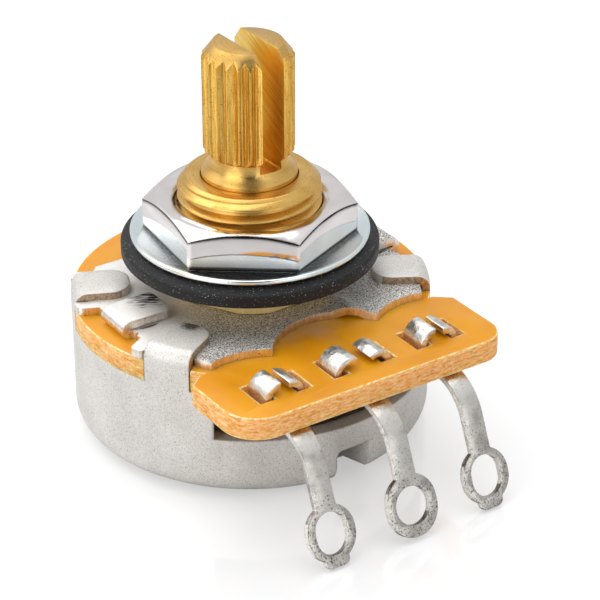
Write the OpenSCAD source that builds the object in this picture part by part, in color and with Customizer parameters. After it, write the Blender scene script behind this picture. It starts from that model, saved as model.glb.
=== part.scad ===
// Rotary potentiometer of the 24 mm class: split knurled brass shaft, threaded bushing with
// its nut and washers, folded mounting plate, laminate element board with three solder lugs,
// and a drawn metal can whose four tabs clamp the stack together.
// Frame: origin at the centre of the can's flat bottom, +Z along the shaft, lugs towards -Y.
// Lengths are millimetres. The rest position is the middle of the shaft's travel.

/* [Can] */
// Outer radius of the drawn can
can_r = 12; // [11:0.1:14]
// Height of the can's rim, where the element board sits
can_h = 7.6; // [7.2:0.1:10]
// Thickness of the can's sheet
can_t = 0.5; // [0.4:0.05:0.7]
// Outer radius of the can's bottom edge
can_corner = 1.5; // [1:0.1:2]
// Width of a clamping tab
tab_w = 3.2; // [2.6:0.1:3.6]
// Length of a tab that lies over the mounting plate
tab_reach = 3; // [2.6:0.1:3.4]
// Outer radius of a tab's bend
tab_bend = 0.9; // [0.75:0.05:1.2]
// Angle of the front pair of tabs, from the terminal side
tab_front_angle = 59.6; // [56:0.2:62]
// Angle of the rear pair of tabs, from the terminal side
tab_rear_angle = 115; // [111:1:122]
// Height of the rim in the window that lets the lugs out
window_z = 4.3; // [3.9:0.1:4.8]
// Half width of that window
window_half = 8.4; // [8.2:0.1:9]
// Width of the inward lip on the window's edge
window_lip = 0.55; // [0.3:0.05:0.8]
// Width of the notch that the stop is lanced out of
stop_w = 2.9; // [2:0.1:3.4]
// Height of that notch
stop_z = 2.6; // [2.4:0.05:3]
// Distance from the middle line to the middle of the notch
stop_x = 0.25; // [0:0.05:0.5]
// Angle by which the stop falls short of standing square to the wall
stop_lean = 18; // [4:1:24]
// Distance from the shaft to the end of the stop and of the notch in the floor
stop_r = 9.2; // [9:0.1:9.8]
// Radius of the notch's left upper corner
notch_r = 0.5; // [0.3:0.1:1.2]

/* [Element board] */
// Thickness of the laminate
board_t = 1.55; // [1.2:0.05:2]
// Distance from the shaft to the board's front edge
board_front = 14.95; // [14.6:0.05:16]
// Half width of the board's front
board_half = 10.17; // [9.8:0.05:11]
// Radius of the left front corner
board_corner_left = 2.5; // [1:0.1:2.8]
// Radius of the right front corner
board_corner_right = 1.8; // [1:0.1:2.8]
// Distance from the shaft to the board's shoulders
board_shoulder = 9; // [8.6:0.1:9.6]
// Radius of the board's middle hole
board_hole_r = 5.1; // [4.95:0.05:5.3]
// Thickness of the printed track and its end pads
track_t = 0.1; // [0.08:0.01:0.14]
// Radius of the middle of the resistive track
track_r = 8.4; // [8.2:0.1:8.6]
// Width of the track
track_w = 2; // [1.6:0.1:2.2]
// Angle that the track leaves open towards the terminals
track_gap = 60; // [50:1:64]
// Thickness of the collector ring
collector_t = 0.2; // [0.16:0.01:0.24]
// Inner radius of the collector ring
collector_r = 5.3; // [5.2:0.05:5.4]
// Width of the collector ring
collector_w = 1.2; // [1:0.05:1.3]

/* [Terminals] */
// Distance between neighbouring terminals
pitch = 5.95; // [5.8:0.05:6.2]
// Height of the eyelets' centres
eyelet_z = 1.7; // [1:0.1:2.4]
// Thickness of the terminal strip
lug_t = 0.48; // [0.4:0.02:0.6]
// Width of the strip that hangs down from the head
lug_w = 1.5; // [1.3:0.02:1.9]
// Radius of the left strip's bend, where it turns down
bend_left = 3.2; // [2.8:0.1:3.8]
// Radius of the middle strip's bend
bend_middle = 3.7; // [2.8:0.1:3.8]
// Radius of the right strip's bend
bend_right = 3.5; // [2.8:0.1:3.8]
// Lean of the strips from the vertical, in degrees
lug_lean = 23.6; // [18:0.2:28]
// Half width of an outer eyelet, across the strip
side_r = 1.75; // [1.7:0.01:1.85]
// Extra half length of an outer eyelet, along the strip
side_stretch = 0.1; // [0.02:0.01:0.2]
// Half width of an outer eyelet's hole
side_hole_r = 1.12; // [1:0.01:1.2]
// Extra half length of an outer eyelet's hole
side_hole_stretch = 0.24; // [0.1:0.01:0.3]
// Half width of the middle eyelet
middle_r = 1.86; // [1.8:0.01:2]
// Extra half length of the middle eyelet
middle_stretch = 0.2; // [0.02:0.01:0.3]
// Radius of the middle eyelet's hole
middle_hole_r = 1.24; // [1.1:0.01:1.3]
// Width of the stub that the carrier strip leaves on the outer lugs
stub_w = 1.75; // [1.5:0.05:2]
// Height of that stub
stub_h = 0.33; // [0.25:0.02:0.5]
// Width of a finger, along the slot
finger_w = 1.95; // [1.6:0.05:2.1]
// Outer radius that a finger curls to
finger_r = 1.05; // [0.9:0.05:1.2]
// Height of a left finger's crown above the board
crown_left = 0.92; // [0.7:0.02:1.1]
// Height of a right finger's crown, which is pressed flatter
crown_right = 0.76; // [0.6:0.02:1.1]
// Distance between the outer faces of an outer terminal's two fingers
grip_side = 2.9; // [2.8:0.05:3.4]
// The same distance on the middle terminal
grip_middle = 4.3; // [4.2:0.05:4.6]
// Gap between the tips of an outer terminal's fingers
tips_side = 0.5; // [0.3:0.05:0.7]
// Gap between the tips of the middle terminal's fingers
tips_middle = 0.85; // [0.7:0.05:1.1]
// Distance between the outer ends of an outer terminal's two slots
slots_side = 3.8; // [3.7:0.05:4.2]
// The same distance on the middle terminal
slots_middle = 4.7; // [4.65:0.05:5]
// Distance from the shaft to the middle of the slots
slot_y = 12.07; // [11.9:0.05:12.2]
// Length of a slot
slot_len = 2.35; // [2.2:0.05:2.5]
// Width of a slot
slot_w = 1.1; // [0.9:0.05:1.2]

/* [Mounting plate] */
// Thickness of the plate
plate_t = 0.55; // [0.5:0.01:0.8]
// Radius that the plate's four arms reach
arm_r = 11.9; // [11.7:0.05:11.95]
// Radius that the front arms reach beside the terminals
prong_r = 11.2; // [11.1:0.05:11.6]
// Extra width of the front arms towards the terminals, which the scallops trim
prong_flare = 0.8; // [0.75:0.05:1]
// Radius of the round lobe behind the left front tab
lobe_r = 0.52; // [0.45:0.01:0.55]
// Distance from the shaft to the straight rear edge
plate_rear = 7.1; // [6.8:0.1:7.6]
// Width of an arm, which forks round its tab
arm_w = 5.1; // [4.8:0.1:5.4]
// Radius of the plate between its arms
plate_r = 10.6; // [10.4:0.05:10.8]
// Depth that the middle bay leaves in front of the shaft
bay_y = 6.65; // [6.4:0.05:7]
// Radius of the middle bay
bay_r = 4.9; // [4.6:0.1:5]
// Depth that the scallops beside it leave
scallop_y = 7.95; // [7.7:0.05:8.1]
// Radius of the scallops
scallop_r = 4.9; // [4.4:0.1:5]
// Distance from the middle line to a scallop's centre
scallop_x = 6.9; // [6.8:0.05:7.1]
// Width of a folded locating lug
fold_w = 2.8; // [2.2:0.1:3]
// Distance from the shaft to the outside of the fold
fold_x = 10.95; // [10.8:0.05:11.1]
// Distance from the shaft to the end of the folded strip
fold_end = 7.2; // [7:0.1:7.8]
// Gap between the plate and the strip folded over it
fold_gap = 0.15; // [0.1:0.05:0.3]
// Radius of the hole pierced beside each fold
pierce_r = 1.6; // [1.2:0.1:1.7]
// Distance from the shaft to that hole's centre
pierce_x = 9; // [8.7:0.1:9.2]
// Distance by which the lugs and their holes sit towards the terminals
fold_y = 0.45; // [0:0.05:0.8]
// Radius of the bead pressed up beside the middle bay
bead_r = 1.9; // [1.5:0.1:2.1]
// Height of that bead above the plate
bead_h = 0.25; // [0.2:0.05:0.35]
// Distance from the middle line to the bead
bead_x = 2.8; // [2.6:0.1:3]

/* [Bushing] */
// Major radius of the mounting thread, 3/8 inch
thread_r = 4.7625; // [4.5:0.0125:5]
// Distance over the flats of the hexagonal base
base_af = 9.8; // [9.7:0.1:10.5]
// Depth to which the base's six corners are turned, measured from the flats outwards
base_turn = 0.27; // [0.2:0.01:0.5]
// Height of the base
base_h = 2.3; // [1.85:0.05:2.6]
// Length of the bushing above its base
thread_len = 5.52; // [5.2:0.05:8]
// Width of the top face's chamfer
thread_chamfer = 0.62; // [0.4:0.02:0.7]
// Radius of the tail that passes the plate
tail_r = 4.15; // [4:0.05:4.25]
// Radius of the rim that is staked under the plate
stake_r = 4.75; // [4.6:0.05:4.85]
// Thickness of that rim
stake_t = 0.53; // [0.4:0.01:0.6]

/* [Nut and washers] */
// Distance over the nut's flats
nut_af = 12.3; // [11.9:0.1:13]
// Height of the nut
nut_h = 2.55; // [2.2:0.05:2.8]
// Turn of the nut, as it was left, in degrees
nut_turn = 23.4; // [0:0.1:60]
// Outer radius of the flat washer
washer_r = 7.94; // [7.6:0.02:8.1]
// Sheet thickness of the flat washer
washer_t = 0.4; // [0.3:0.05:0.6]
// Rise of the flat washer's dished rim
washer_dish = 0.26; // [0.1:0.02:0.3]
// Inner radius of the flat washer
washer_hole_r = 5; // [4.9:0.05:5.2]
// Outer radius of the rubber washer
rubber_r = 8.57; // [8.4:0.02:8.9]
// Thickness of the rubber washer under the flat washer
rubber_t = 1; // [0.8:0.05:1.3]
// Height of the rubber washer's outer wall
rubber_wall = 0.7; // [0.5:0.05:0.75]
// Inner radius of the rubber washer
rubber_hole_r = 4.9; // [4.85:0.05:5.1]

/* [Shaft] */
// Radius of the shaft in its bushing, 1/4 inch
shaft_r = 3.175; // [3:0.005:3.3]
// Running clearance of the shaft in the bushing
shaft_gap = 0.05; // [0.02:0.01:0.08]
// Height of the shaft above the bushing
shaft_out = 9.17; // [8.6:0.05:12]
// Outer radius of the knurl
knurl_r = 3; // [2.9:0.01:3.1]
// Number of the knurl's ridges
knurl_count = 24; // [18:1:24]
// Radius of the cutter that forms a flute
flute_r = 0.33; // [0.24:0.01:0.36]
// Depth of a flute
flute_depth = 0.25; // [0.15:0.01:0.28]
// Radius of the neck under the knurl
neck_r = 2.66; // [2.55:0.01:2.75]
// Height of the knurl's lower edge above the bushing
knurl_z = 1.86; // [1.7:0.01:2.1]
// Radius of the shaft's flat top
top_r = 2.3; // [2.2:0.01:2.5]
// Height of the top chamfer
top_chamfer = 0.9; // [0.6:0.02:1.2]
// Width of the screwdriver slot
slit_w = 1.64; // [1.4:0.02:1.8]
// Height of the slot's floor above the bushing
slit_z = 1; // [0.9:0.02:1.3]

/* [Rotor] */
// Radius of the retaining ring's groove
groove_r = 2.5; // [2.4:0.05:2.6]
// Thickness of the retaining ring
clip_t = 0.5; // [0.4:0.05:0.55]
// Outer radius of the retaining ring
clip_r = 4.4; // [4.2:0.05:4.5]
// Axial play between the retaining ring and the bushing
clip_play = 0.1; // [0.05:0.01:0.15]
// Distance over the flats that drive the rotor
drive_flats = 3.6; // [3.2:0.1:4]
// Radius of the drive end between its flats
drive_r = 2.6; // [2.5:0.05:2.8]
// Radius of the rotor's disc
rotor_r = 8.3; // [7.9:0.1:8.5]
// Height of the rotor's upper face
rotor_z = 5; // [4.8:0.05:5.2]
// Thickness of the rotor's disc
rotor_t = 1.1; // [0.9:0.05:1.2]
// Radius of the rotor's hub
hub_r = 4.6; // [4.2:0.1:4.8]
// Height of the hub's lower face
hub_z = 1.6; // [1.4:0.05:1.8]
// Radius that the rotor's stop arm reaches
stop_arm_r = 10.5; // [10.2:0.05:10.6]
// Travel from the middle to either stop
half_travel = 147.5; // [140:0.5:148]
// Thickness of the wiper's spring sheet
wiper_t = 0.2; // [0.15:0.01:0.25]
// Gap under the track that the wiper's tips keep
wiper_gap = 0.05; // [0.04:0.01:0.1]

/* [Hidden] */
$fn = 96;
eps = 0.01;
fit_gap = 0.05;                                  // between the fitted edges of the sheet parts
joint_turn = 1;                                  // degrees by which a bend runs on into its straight parts

can_in = can_r - can_t;
board_z = can_h;                                 // the board's underside, on the rim
board_top = board_z + board_t;
plate_top = board_top + plate_t;
tab_top = plate_top + can_t;
fold_r = plate_t + fold_gap / 2;                 // outer radius of a fold
shoulder_cut = 1.1;                              // width of the board's sloped shoulders
arm_corner = 0.6;                                // rounded corners of the arms
pad_half = 1.8;                                  // half width of a silver pad at its terminal
head_step = 0.4;                                 // step from the head's edge to its strip
stub_r = 0.45;                                   // corners of the stub
relief_r = 0.35;                                 // relief beside a fold's root
arm_root = arm_r - 6;                            // where an arm starts, inside the plate's disc
head_rear = 2.1;                                 // from the slots' middle back to the head's rear edge
head_front = 1.35;                               // from the head's front edge to the board's
bead_end = base_af / 2 + bead_r * 0.64;          // the bead's rear end stays clear of the bushing's base
board_fork = sqrt(pow(can_in, 2) - pow(tab_w / 2, 2)) - fit_gap;                 // floor of a board notch
plate_fork = sqrt(pow(can_r - tab_bend, 2) - pow(tab_w / 2, 2)) - fit_gap;       // floor of a plate fork
base_z = plate_top;
base_corner = base_af / 2 + base_turn;           // radius that the base's corners are turned to
core_r = thread_r - 0.45;                        // root of the thread, and of the relief under it
relief_h = 0.42;                                 // height of the relief, and of the thread's run-out
seat_z = base_z + base_h;                        // the shoulder that the washers lie on
bush_top = seat_z + thread_len;
tail_z = board_top - stake_t;
washer_z = seat_z + rubber_t;                    // underside of the flat washer's middle
nut_z = washer_z + washer_t;
washer_flat_r = nut_af / 2 / cos(30) + 0.1;      // where the dished rim starts, outside the nut's corners
shaft_top = bush_top + shaft_out;
knurl_bottom = bush_top + knurl_z;
slit_floor = bush_top + slit_z;
clip_z = tail_z - clip_play - clip_t;
hub_top = rotor_z + 0.4;
rivet_z = hub_z - 0.5;                           // lower end of the shaft, riveted over the rotor
terminal_x = [-pitch, 0, pitch];
slot_ends = [slots_side, slots_middle, slots_side];
side_ear = [side_r, side_stretch];
side_hole = [side_hole_r, side_hole_stretch];
middle_ear = [middle_r, middle_stretch];
middle_hole = [middle_hole_r, 0];
lug_face_z = board_z - track_t;                  // upper face of a terminal's head
head_y = [slot_y - head_rear, board_front - head_front];
track_angles = [track_gap / 2 - 90, 270 - track_gap / 2];
tip_z = board_z - track_t - wiper_gap;           // what the track wiper's tips reach
collector_tip_z = board_z - collector_t - wiper_gap;
stop_edge = stop_x + stop_w / 2;
stop_root = [stop_edge, -sqrt(pow(can_in, 2) - pow(stop_edge, 2))];
stop_len = (-stop_root[1] - stop_r) / cos(stop_lean);
stop_tip = stop_root + stop_len * [-sin(stop_lean), cos(stop_lean)]
           - can_t * [cos(stop_lean), sin(stop_lean)];
// angles of the stop's two sides from the middle line, as the rotor's arm meets them
stop_left = atan(-stop_tip[0] / stop_tip[1]);
stop_right = asin((stop_edge + (stop_root[1] + stop_arm_r) * tan(stop_lean)) / stop_arm_r);
stop_mid = (stop_left + stop_right) / 2;
stop_play = 0.4;                                 // degrees left between arm and stop
arm_half = 180 - half_travel - (stop_right - stop_left) / 2 - stop_play;
arm_sink = 0.2;                                  // overlap of the stop arm with the disc that carries it
arm_z = 1.2;                                     // the stop arm's lower face
tab_angles = [for (a = [tab_front_angle, tab_rear_angle]) for (side = [-1, 1]) -90 + side * a];
wiper_inset = 0.7;                               // from the disc's rim to the rim of the wiper's plate
wiper_back = 4.9;                                // distance of the wiper's bar behind the middle line
wiper_bar = 1.2;                                 // width of that bar
wiper_lap = 0.3;                                 // length by which an arm lies on the bar
collector_arm_w = 0.8;
track_arm_w = 0.6;
track_arm_y = 0.45;                              // offset of each track arm from the track's middle
tip_r = 0.35;                                    // rounding of an arm's tip

// Sector of the plane between two angles, wide enough for every use
module wedge_2d(a0, a1, r = 30) {
    steps = ceil((a1 - a0) / 30);
    rim = [for (i = [0 : steps]) a0 + (a1 - a0) * i / steps];
    polygon(concat([[0, 0]], [for (a = rim) r * [cos(a), sin(a)]]));
}

// Flat ring of inner radius r0 and outer radius r1 from height z to z + h
module ring(r0, r1, z, h) {
    translate([0, 0, z]) difference() {
        cylinder(r = r1, h = h);
        translate([0, 0, -eps]) cylinder(r = r0, h = h + 2 * eps);
    }
}

// Strip from x0 to x1, w wide, with the corners of its inner or its outer end rounded by r
module strip_2d(x0, x1, w, r, outer = false) {
    end = outer ? x1 - r : x0 + r;
    translate([outer ? x0 : end, -w / 2]) square([x1 - x0 - r, w]);
    translate([outer ? end - eps : x0, r - w / 2]) square([r + eps, w - 2 * r]);
    for (side = [-1, 1]) translate([end, side * (w / 2 - r)]) circle(r);
}

// Half section of a closed round pot: radius r, height h, rounded bottom edge c
module pot_half_2d(r, h, c) {
    translate([0, c]) square([r, h - c]);
    square([r - c, c + eps]);
    translate([r - c, c]) circle(c);
}

// Half section of a clamping tab: up the wall, round the bend and over the plate
module tab_half_2d() {
    bend_z = tab_top - tab_bend;
    translate([can_in, can_h - 0.5]) square([can_t, bend_z - can_h + 0.5]);
    translate([can_r - tab_bend, bend_z]) intersection() {
        difference() {
            circle(tab_bend);
            circle(tab_bend - can_t);
        }
        square(tab_bend);
    }
    translate([can_r - tab_reach - tab_bend, plate_top]) square([tab_reach + eps, can_t]);
}

module can_tab(angle) {
    intersection() {
        rotate_extrude() tab_half_2d();
        rotate(angle) translate([0, 0, can_h - 1]) linear_extrude(tab_top - can_h + 2)
            strip_2d(can_r - tab_reach - tab_bend, can_r + 1, tab_w, tab_w * 0.42);
    }
}

// Stop: the notch's piece of wall, swung inwards about the notch's right edge
module stop_flap() {
    intersection() {
        rotate_extrude() pot_half_2d(can_r, can_h, can_corner);
        translate([stop_root[0], stop_root[1], can_t + fit_gap]) rotate(stop_lean)
            translate([-can_t, -2 * can_t, 0])
                cube([can_t, 2 * can_t + stop_len, stop_z - can_t - 2 * fit_gap]);
    }
}

// Notch that the stop leaves in the wall and the floor, seen from the terminals
module notch_2d() {
    left = stop_x - stop_w / 2;
    translate([left + notch_r, -1]) square([stop_w - notch_r, stop_z + 1]);
    translate([left, -1]) square([notch_r + eps, stop_z + 1 - notch_r]);
    translate([left + notch_r, stop_z - notch_r]) circle(notch_r);
}

module can() {
    color("silver") {
        difference() {
            rotate_extrude() difference() {
                pot_half_2d(can_r, can_h, can_corner);
                translate([0, can_t]) pot_half_2d(can_in, can_h, can_corner - can_t);
            }
            translate([-window_half, -can_r - 1, window_z]) cube([2 * window_half, can_r, can_h]);
            translate([0, -stop_r, 0]) rotate([90, 0, 0]) linear_extrude(can_r) notch_2d();
        }
        for (a = tab_angles) can_tab(a);
        intersection() {
            ring(can_in - window_lip, can_in + eps, window_z - can_t, can_t);
            translate([-window_half, -can_r - 1, 0]) cube([2 * window_half, can_r, can_h]);
        }
        stop_flap();
    }
}

// Front of the board on one side of the middle line, with its shoulder and its rounded corner
module board_half_2d(corner) {
    translate([-eps, -board_front]) square([board_half - corner + eps, board_front - board_shoulder]);
    translate([board_half - corner - eps, corner - board_front])
        square([corner + eps, board_front - board_shoulder - corner]);
    translate([board_half - corner, corner - board_front]) circle(corner);
    polygon([[-eps, -board_shoulder - eps], [board_half, -board_shoulder - eps],
             [board_half, -board_shoulder], [board_half - shoulder_cut, 0.8 * shoulder_cut - board_shoulder],
             [-eps, 0.8 * shoulder_cut - board_shoulder]]);
}

module element_board() {
    color("darkorange") translate([0, 0, board_z]) linear_extrude(board_t) difference() {
        union() {
            circle(can_r);
            mirror([1, 0]) board_half_2d(board_corner_left);
            board_half_2d(board_corner_right);
        }
        circle(board_hole_r);
        for (a = tab_angles) rotate(a)
            translate([board_fork, -tab_w / 2 - fit_gap]) square([2, tab_w + 2 * fit_gap]);
        for (i = [0 : 2]) for (side = [-1, 1])
            translate([terminal_x[i] + side * (slot_ends[i] - slot_w) / 2, -slot_y])
                square([slot_w, slot_len], center = true);
    }
}

module carbon_track() {
    color("dimgray") translate([0, 0, board_z - track_t]) linear_extrude(track_t) intersection() {
        difference() {
            circle(track_r + track_w / 2);
            circle(track_r - track_w / 2);
        }
        wedge_2d(track_angles[0], track_angles[1]);
    }
}

// Silver pad between an end of the track and the head of its terminal
module end_pad(side) {
    a = -90 + track_gap / 2;
    inner = track_r - track_w / 2;
    outer = track_r + track_w / 2;
    color("gainsboro") translate([0, 0, board_z - track_t]) linear_extrude(track_t) intersection() {
        scale([side, 1]) polygon([inner * [cos(a), sin(a)], outer * [cos(a), sin(a)],
            [pitch + pad_half + 0.2, -head_y[0]], [pitch + pad_half, -head_y[1]],
            [pitch - pad_half, -head_y[1]], [pitch - pad_half - 0.2, -head_y[0]]]);
        difference() {
            circle(can_r * 1.2);
            for (x = [-1, 1]) translate([side * pitch + x * (slots_side - slot_w) / 2, -slot_y])
                square([slot_w + 2 * fit_gap, slot_len + 2 * fit_gap], center = true);
        }
    }
}

module collector_ring() {
    outer = collector_r + collector_w;
    color("lightgray") translate([0, 0, board_z - collector_t]) linear_extrude(collector_t) {
        difference() {
            union() {
                circle(outer);
                translate([-1, -head_y[0] + fit_gap]) square([2, head_y[0] - fit_gap]);
            }
            circle(collector_r);
        }
    }
}

// Oval: its half width is size[0], and size[1] is added to its half length
module oval_2d(size) {
    if (size[1] == 0) circle(size[0]);
    else {
        for (end = [-1, 1]) translate([0, end * size[1]]) circle(size[0]);
        square(2 * size, center = true);
    }
}

// Leg with its eyelet, drawn flat: the hole is at the origin and the leg goes up from it
module eyelet_2d(ear, hole, leg, stub) {
    difference() {
        union() {
            oval_2d(ear);
            translate([-lug_w / 2, 0]) square([lug_w, leg]);
            if (stub) translate([0, -ear[0] - ear[1] - stub_h]) {
                translate([-stub_w / 2, stub_r]) square([stub_w, 2 * stub_h]);
                translate([stub_r - stub_w / 2, 0]) square([stub_w - 2 * stub_r, 2 * stub_h]);
                for (side = [-1, 1]) translate([side * (stub_w / 2 - stub_r), stub_r]) circle(stub_r);
            }
        }
        oval_2d(hole);
    }
}

// One finger that comes up through its slot and curls over the board by the distance reach
module finger(grip, side, reach, crown) {
    rise = lug_t + board_top - lug_face_z + crown - finger_r;
    translate([0, -slot_y + finger_w / 2, lug_face_z - lug_t]) rotate([90, 0, 0]) linear_extrude(finger_w)
        mirror([side < 0 ? 1 : 0, 0]) {
            translate([grip / 2 - lug_t, 0]) square([lug_t, rise]);
            translate([grip / 2 - finger_r, rise]) intersection() {
                difference() {
                    circle(finger_r);
                    circle(finger_r - lug_t);
                }
                wedge_2d(-joint_turn, acos(1 - reach / finger_r), 3);
            }
        }
}

// Terminal: head under the board, two fingers through it, and the strip that ends in the eyelet
module terminal(x, grip, tips, bend, ear, hole, stub) {
    turn = 90 - lug_lean;
    leg = (lug_face_z - bend * (1 - sin(lug_lean)) - eyelet_z) / cos(lug_lean);
    reach = (grip - tips) / 2;
    color("gainsboro") translate([x, 0, 0]) {
        translate([-grip / 2, head_step - head_y[1], lug_face_z - lug_t])
            cube([grip, head_y[1] - head_y[0] - head_step, lug_t]);
        translate([-lug_w / 2, -head_y[1], lug_face_z - lug_t]) cube([lug_w, 2 * head_step, lug_t]);
        finger(grip, -1, reach, crown_left);
        finger(grip, 1, reach, crown_right);
        translate([0, -head_y[1], lug_face_z - bend]) {
            translate([-lug_w / 2, 0, 0]) rotate([90, 0, 90]) linear_extrude(lug_w) intersection() {
                difference() {
                    circle(bend);
                    circle(bend - lug_t);
                }
                wedge_2d(90 - joint_turn, 90 + turn + joint_turn, 9);
            }
            rotate([turn, 0, 0]) translate([0, -leg, bend - lug_t])
                linear_extrude(lug_t) eyelet_2d(ear, hole, leg, stub);
        }
    }
}

// Locating lug of the plate, folded back over it
module folded_lug() {
    translate([0, fold_w / 2 - fold_y, 0]) rotate([90, 0, 0]) linear_extrude(fold_w)
        translate([fold_x - fold_r, board_top + fold_r]) intersection() {
            difference() {
                circle(fold_r);
                circle(fold_gap / 2);
            }
            translate([-eps, -fold_r]) square([fold_r + eps, 2 * fold_r]);
        }
    translate([0, -fold_y, plate_top + fold_gap]) linear_extrude(plate_t)
        strip_2d(fold_end, fold_x - fold_r, fold_w, 0.5);
    // root of the lug, flat with the plate
    translate([fold_end, -fold_y - fold_w / 2, board_top])
        cube([fold_x - fold_r - fold_end, fold_w, plate_t]);
}

// Bead that is pressed up from the plate: its outside, or the hollow under it
module bead(r) {
    translate([bead_x, 0, plate_top + bead_h - bead_r]) {
        translate([0, -bead_end, 0]) rotate([90, 0, 0]) cylinder(r = r, h = plate_rear);
        translate([0, -bead_end, 0]) sphere(r);
    }
}

// Front arm on the right, which the scallop trims beside the terminals
module front_arm_2d() {
    rotate(-90 + tab_front_angle) {
        strip_2d(arm_root, prong_r, arm_w, arm_corner, true);
        translate([arm_root, -arm_w / 2 - prong_flare])
            square([prong_r - arm_root, arm_w / 2 + prong_flare]);
    }
}

module plate_2d() {
    lobe_y = -tab_w / 2 - fit_gap - lobe_r;
    difference() {
        intersection() {
            union() {
                circle(plate_r);
                front_arm_2d();
                mirror([1, 0]) front_arm_2d();
                rotate(tab_angles[0]) {
                    translate([arm_root, lobe_y - lobe_r])
                        square([arm_r - lobe_r - arm_root, 2 * lobe_r]);
                    translate([arm_r - lobe_r, lobe_y]) circle(lobe_r);
                }
                for (i = [2, 3]) rotate(tab_angles[i]) strip_2d(arm_root, arm_r, arm_w, arm_corner, true);
            }
            translate([-can_r, -can_r]) square([2 * can_r, can_r + plate_rear]);
            circle(can_r);
        }
        translate([0, -bay_y - bay_r]) circle(bay_r);
        for (side = [-1, 1]) {
            translate([side * scallop_x, -scallop_y - scallop_r]) circle(scallop_r);
            for (y = [-1, 1])
                translate([side * (fold_x - fold_r + 0.1), y * (fold_w / 2 + relief_r) - fold_y]) {
                    circle(relief_r);
                    translate([side > 0 ? 0 : -2, -relief_r]) square([2, 2 * relief_r]);
                }
            translate([side * (plate_r + 0.9), -fold_y]) square([2, fold_w + 0.4], center = true);
            intersection() {
                translate([side * pierce_x, -fold_y]) circle(pierce_r);
                square([2 * (fold_x - fold_r) - 0.1, can_r], center = true);
            }
        }
        for (a = tab_angles) rotate(a)
            translate([plate_fork, -tab_w / 2 - fit_gap]) square([2, tab_w + 2 * fit_gap]);
        circle(tail_r);
    }
}

module mounting_plate() {
    color("lightsteelblue") {
        difference() {
            union() {
                translate([0, 0, board_top]) linear_extrude(plate_t) plate_2d();
                intersection() {
                    bead(bead_r);
                    translate([0, 0, board_top]) linear_extrude(plate_t + bead_h) plate_2d();
                }
            }
            bead(bead_r - plate_t);
        }
        folded_lug();
        mirror([1, 0, 0]) folded_lug();
    }
}

module bushing() {
    bore = shaft_r + shaft_gap;
    color("goldenrod") difference() {
        union() {
            intersection() {
                translate([0, 0, base_z]) cylinder(r = base_af / 2 / cos(30), h = base_h, $fn = 6);
                translate([0, 0, base_z]) cylinder(r = base_corner, h = base_h);
            }
            rotate_extrude() polygon([[0, tail_z], [stake_r, tail_z], [stake_r, board_top],
                [tail_r, board_top], [tail_r, base_z + eps], [core_r, seat_z - eps],
                [core_r, seat_z + relief_h], [thread_r, seat_z + 2 * relief_h],
                [thread_r, bush_top - thread_chamfer * 0.9], [thread_r - thread_chamfer, bush_top],
                [0, bush_top]]);
        }
        translate([0, 0, tail_z - 1]) cylinder(r = bore, h = bush_top - tail_z + 2);
    }
}

module hex_nut() {
    corner = nut_af / 2 / cos(30);
    bevel = (corner - nut_af / 2) * tan(30);
    color("whitesmoke") rotate(nut_turn) translate([0, 0, nut_z]) difference() {
        intersection() {
            cylinder(r = corner, h = nut_h, $fn = 6);
            rotate_extrude() polygon([[0, 0], [corner + 1, 0], [corner + 1, nut_h - bevel],
                                      [corner, nut_h - bevel], [nut_af / 2, nut_h], [0, nut_h]]);
        }
        translate([0, 0, -1]) cylinder(r = thread_r + fit_gap, h = nut_h + 2);
        translate([0, 0, nut_h - 0.4]) cylinder(r1 = thread_r, r2 = thread_r + 0.5, h = 0.41);
    }
}

module flat_washer() {
    rim_z = washer_z + washer_dish;
    color("powderblue") rotate_extrude() polygon([[washer_hole_r, washer_z], [washer_flat_r, washer_z],
        [washer_r - 0.3, rim_z], [washer_r, rim_z + 0.08], [washer_r, rim_z + washer_t - 0.08],
        [washer_r - 0.1, rim_z + washer_t], [washer_r - 0.3, rim_z + washer_t - 0.03],
        [washer_flat_r, washer_z + washer_t], [washer_hole_r, washer_z + washer_t]]);
}

module rubber_washer() {
    round_r = 0.25;
    color("dimgray") rotate_extrude() {
        polygon([[rubber_hole_r, seat_z], [rubber_r - 0.1, seat_z], [rubber_r, seat_z + 0.1],
            [rubber_r, seat_z + rubber_wall], [rubber_r - round_r, seat_z + rubber_wall + round_r],
            [washer_r - 0.3, washer_z + washer_dish], [washer_flat_r, washer_z], [rubber_hole_r, washer_z]]);
        intersection() {
            translate([rubber_r - round_r, seat_z + rubber_wall]) circle(round_r);
            translate([rubber_r - round_r, seat_z + rubber_wall]) square(round_r);
        }
    }
}

// Section of the shaft's end, and of the hole that it drives the rotor by
module drive_2d() {
    intersection() {
        circle(drive_r);
        square([2 * drive_r + 1, drive_flats], center = true);
    }
}

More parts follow.
